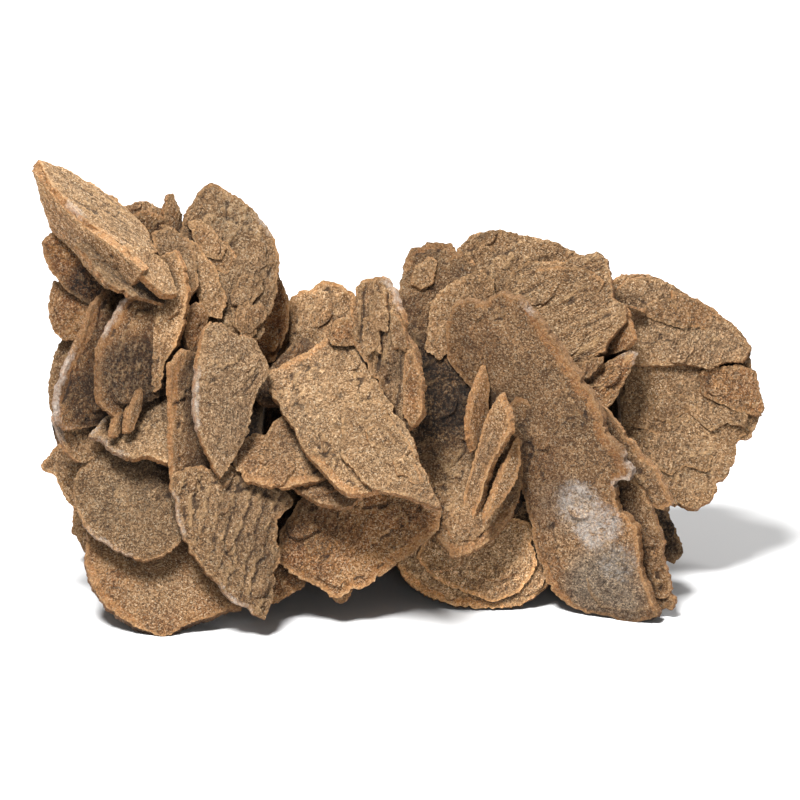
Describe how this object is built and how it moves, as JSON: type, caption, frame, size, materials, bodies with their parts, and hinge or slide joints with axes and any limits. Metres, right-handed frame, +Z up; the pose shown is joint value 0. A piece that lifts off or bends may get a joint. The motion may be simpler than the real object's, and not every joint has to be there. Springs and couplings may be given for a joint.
{
  "type": "gypsum sand rose",
  "caption": "Cluster of flat, ragged-edged gypsum blades with trapped desert sand, grown through one another into a rosette that stands on its lowest blades.",
  "frame": {"origin": "centre of the specimen's footprint, on the surface that it stands on", "axes": "+X along the length, to the right of the display side; +Y away from the display side; +Z up"},
  "size_m": [0.1458, 0.0737, 0.086],
  "materials": {
    "sandy_gypsum": "matt, gritty, grey-brown to amber, with whitish frosting on some rims"
  },
  "bodies": {
    "root": {"sand_rose": "sandy_gypsum"}
  },
  "joints": []
}
